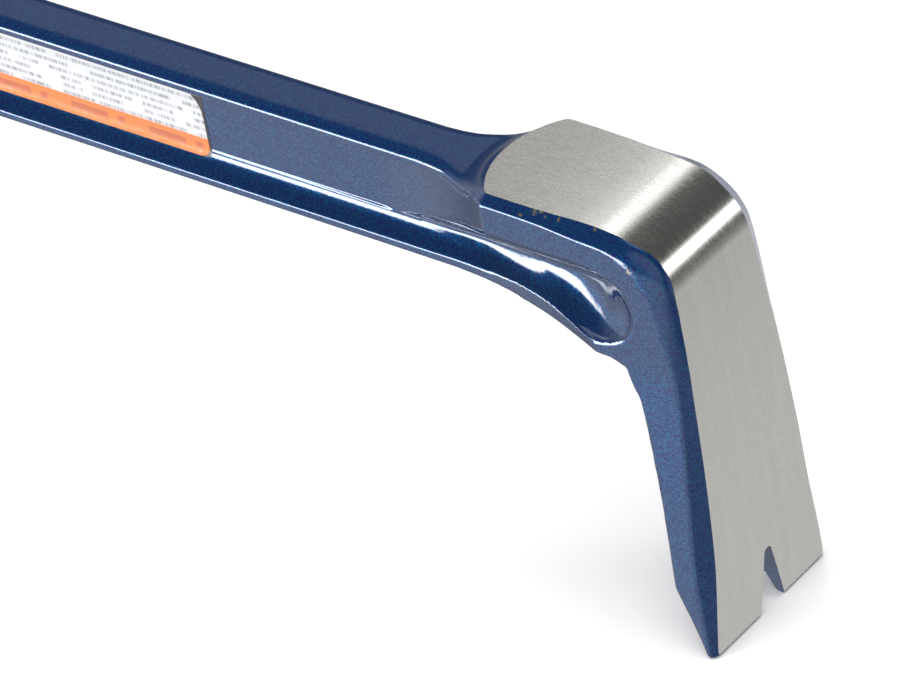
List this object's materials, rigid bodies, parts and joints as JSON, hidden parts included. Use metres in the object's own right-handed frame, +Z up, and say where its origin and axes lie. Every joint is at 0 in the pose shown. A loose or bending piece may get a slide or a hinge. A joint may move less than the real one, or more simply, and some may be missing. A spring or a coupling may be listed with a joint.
{
  "type": "pry bar",
  "caption": "Long forged steel pry bar with an I-beam shank, a hooked nail claw at one end and a straight nail claw at the other.",
  "frame": {"origin": "middle of the box the bar fills, at the floor that both claws stand on", "axes": "+X along the bar towards the hooked claw, +Y across the bar, +Z up; the bar stands on its two claw tips, so the shank rises 8.5 degrees towards +X"},
  "size_m": [0.615, 0.046, 0.1112],
  "materials": {
    "blue_paint": "glossy metallic blue enamel over forged steel",
    "ground_steel": "bare ground steel with fine grain",
    "label_black": "thin black vinyl film",
    "label_print": "white vinyl film with an orange band, no lettering"
  },
  "bodies": {
    "root": {"forged_bar": "blue_paint", "label_backing": "label_black", "label_face": "label_print"}
  },
  "joints": []
}
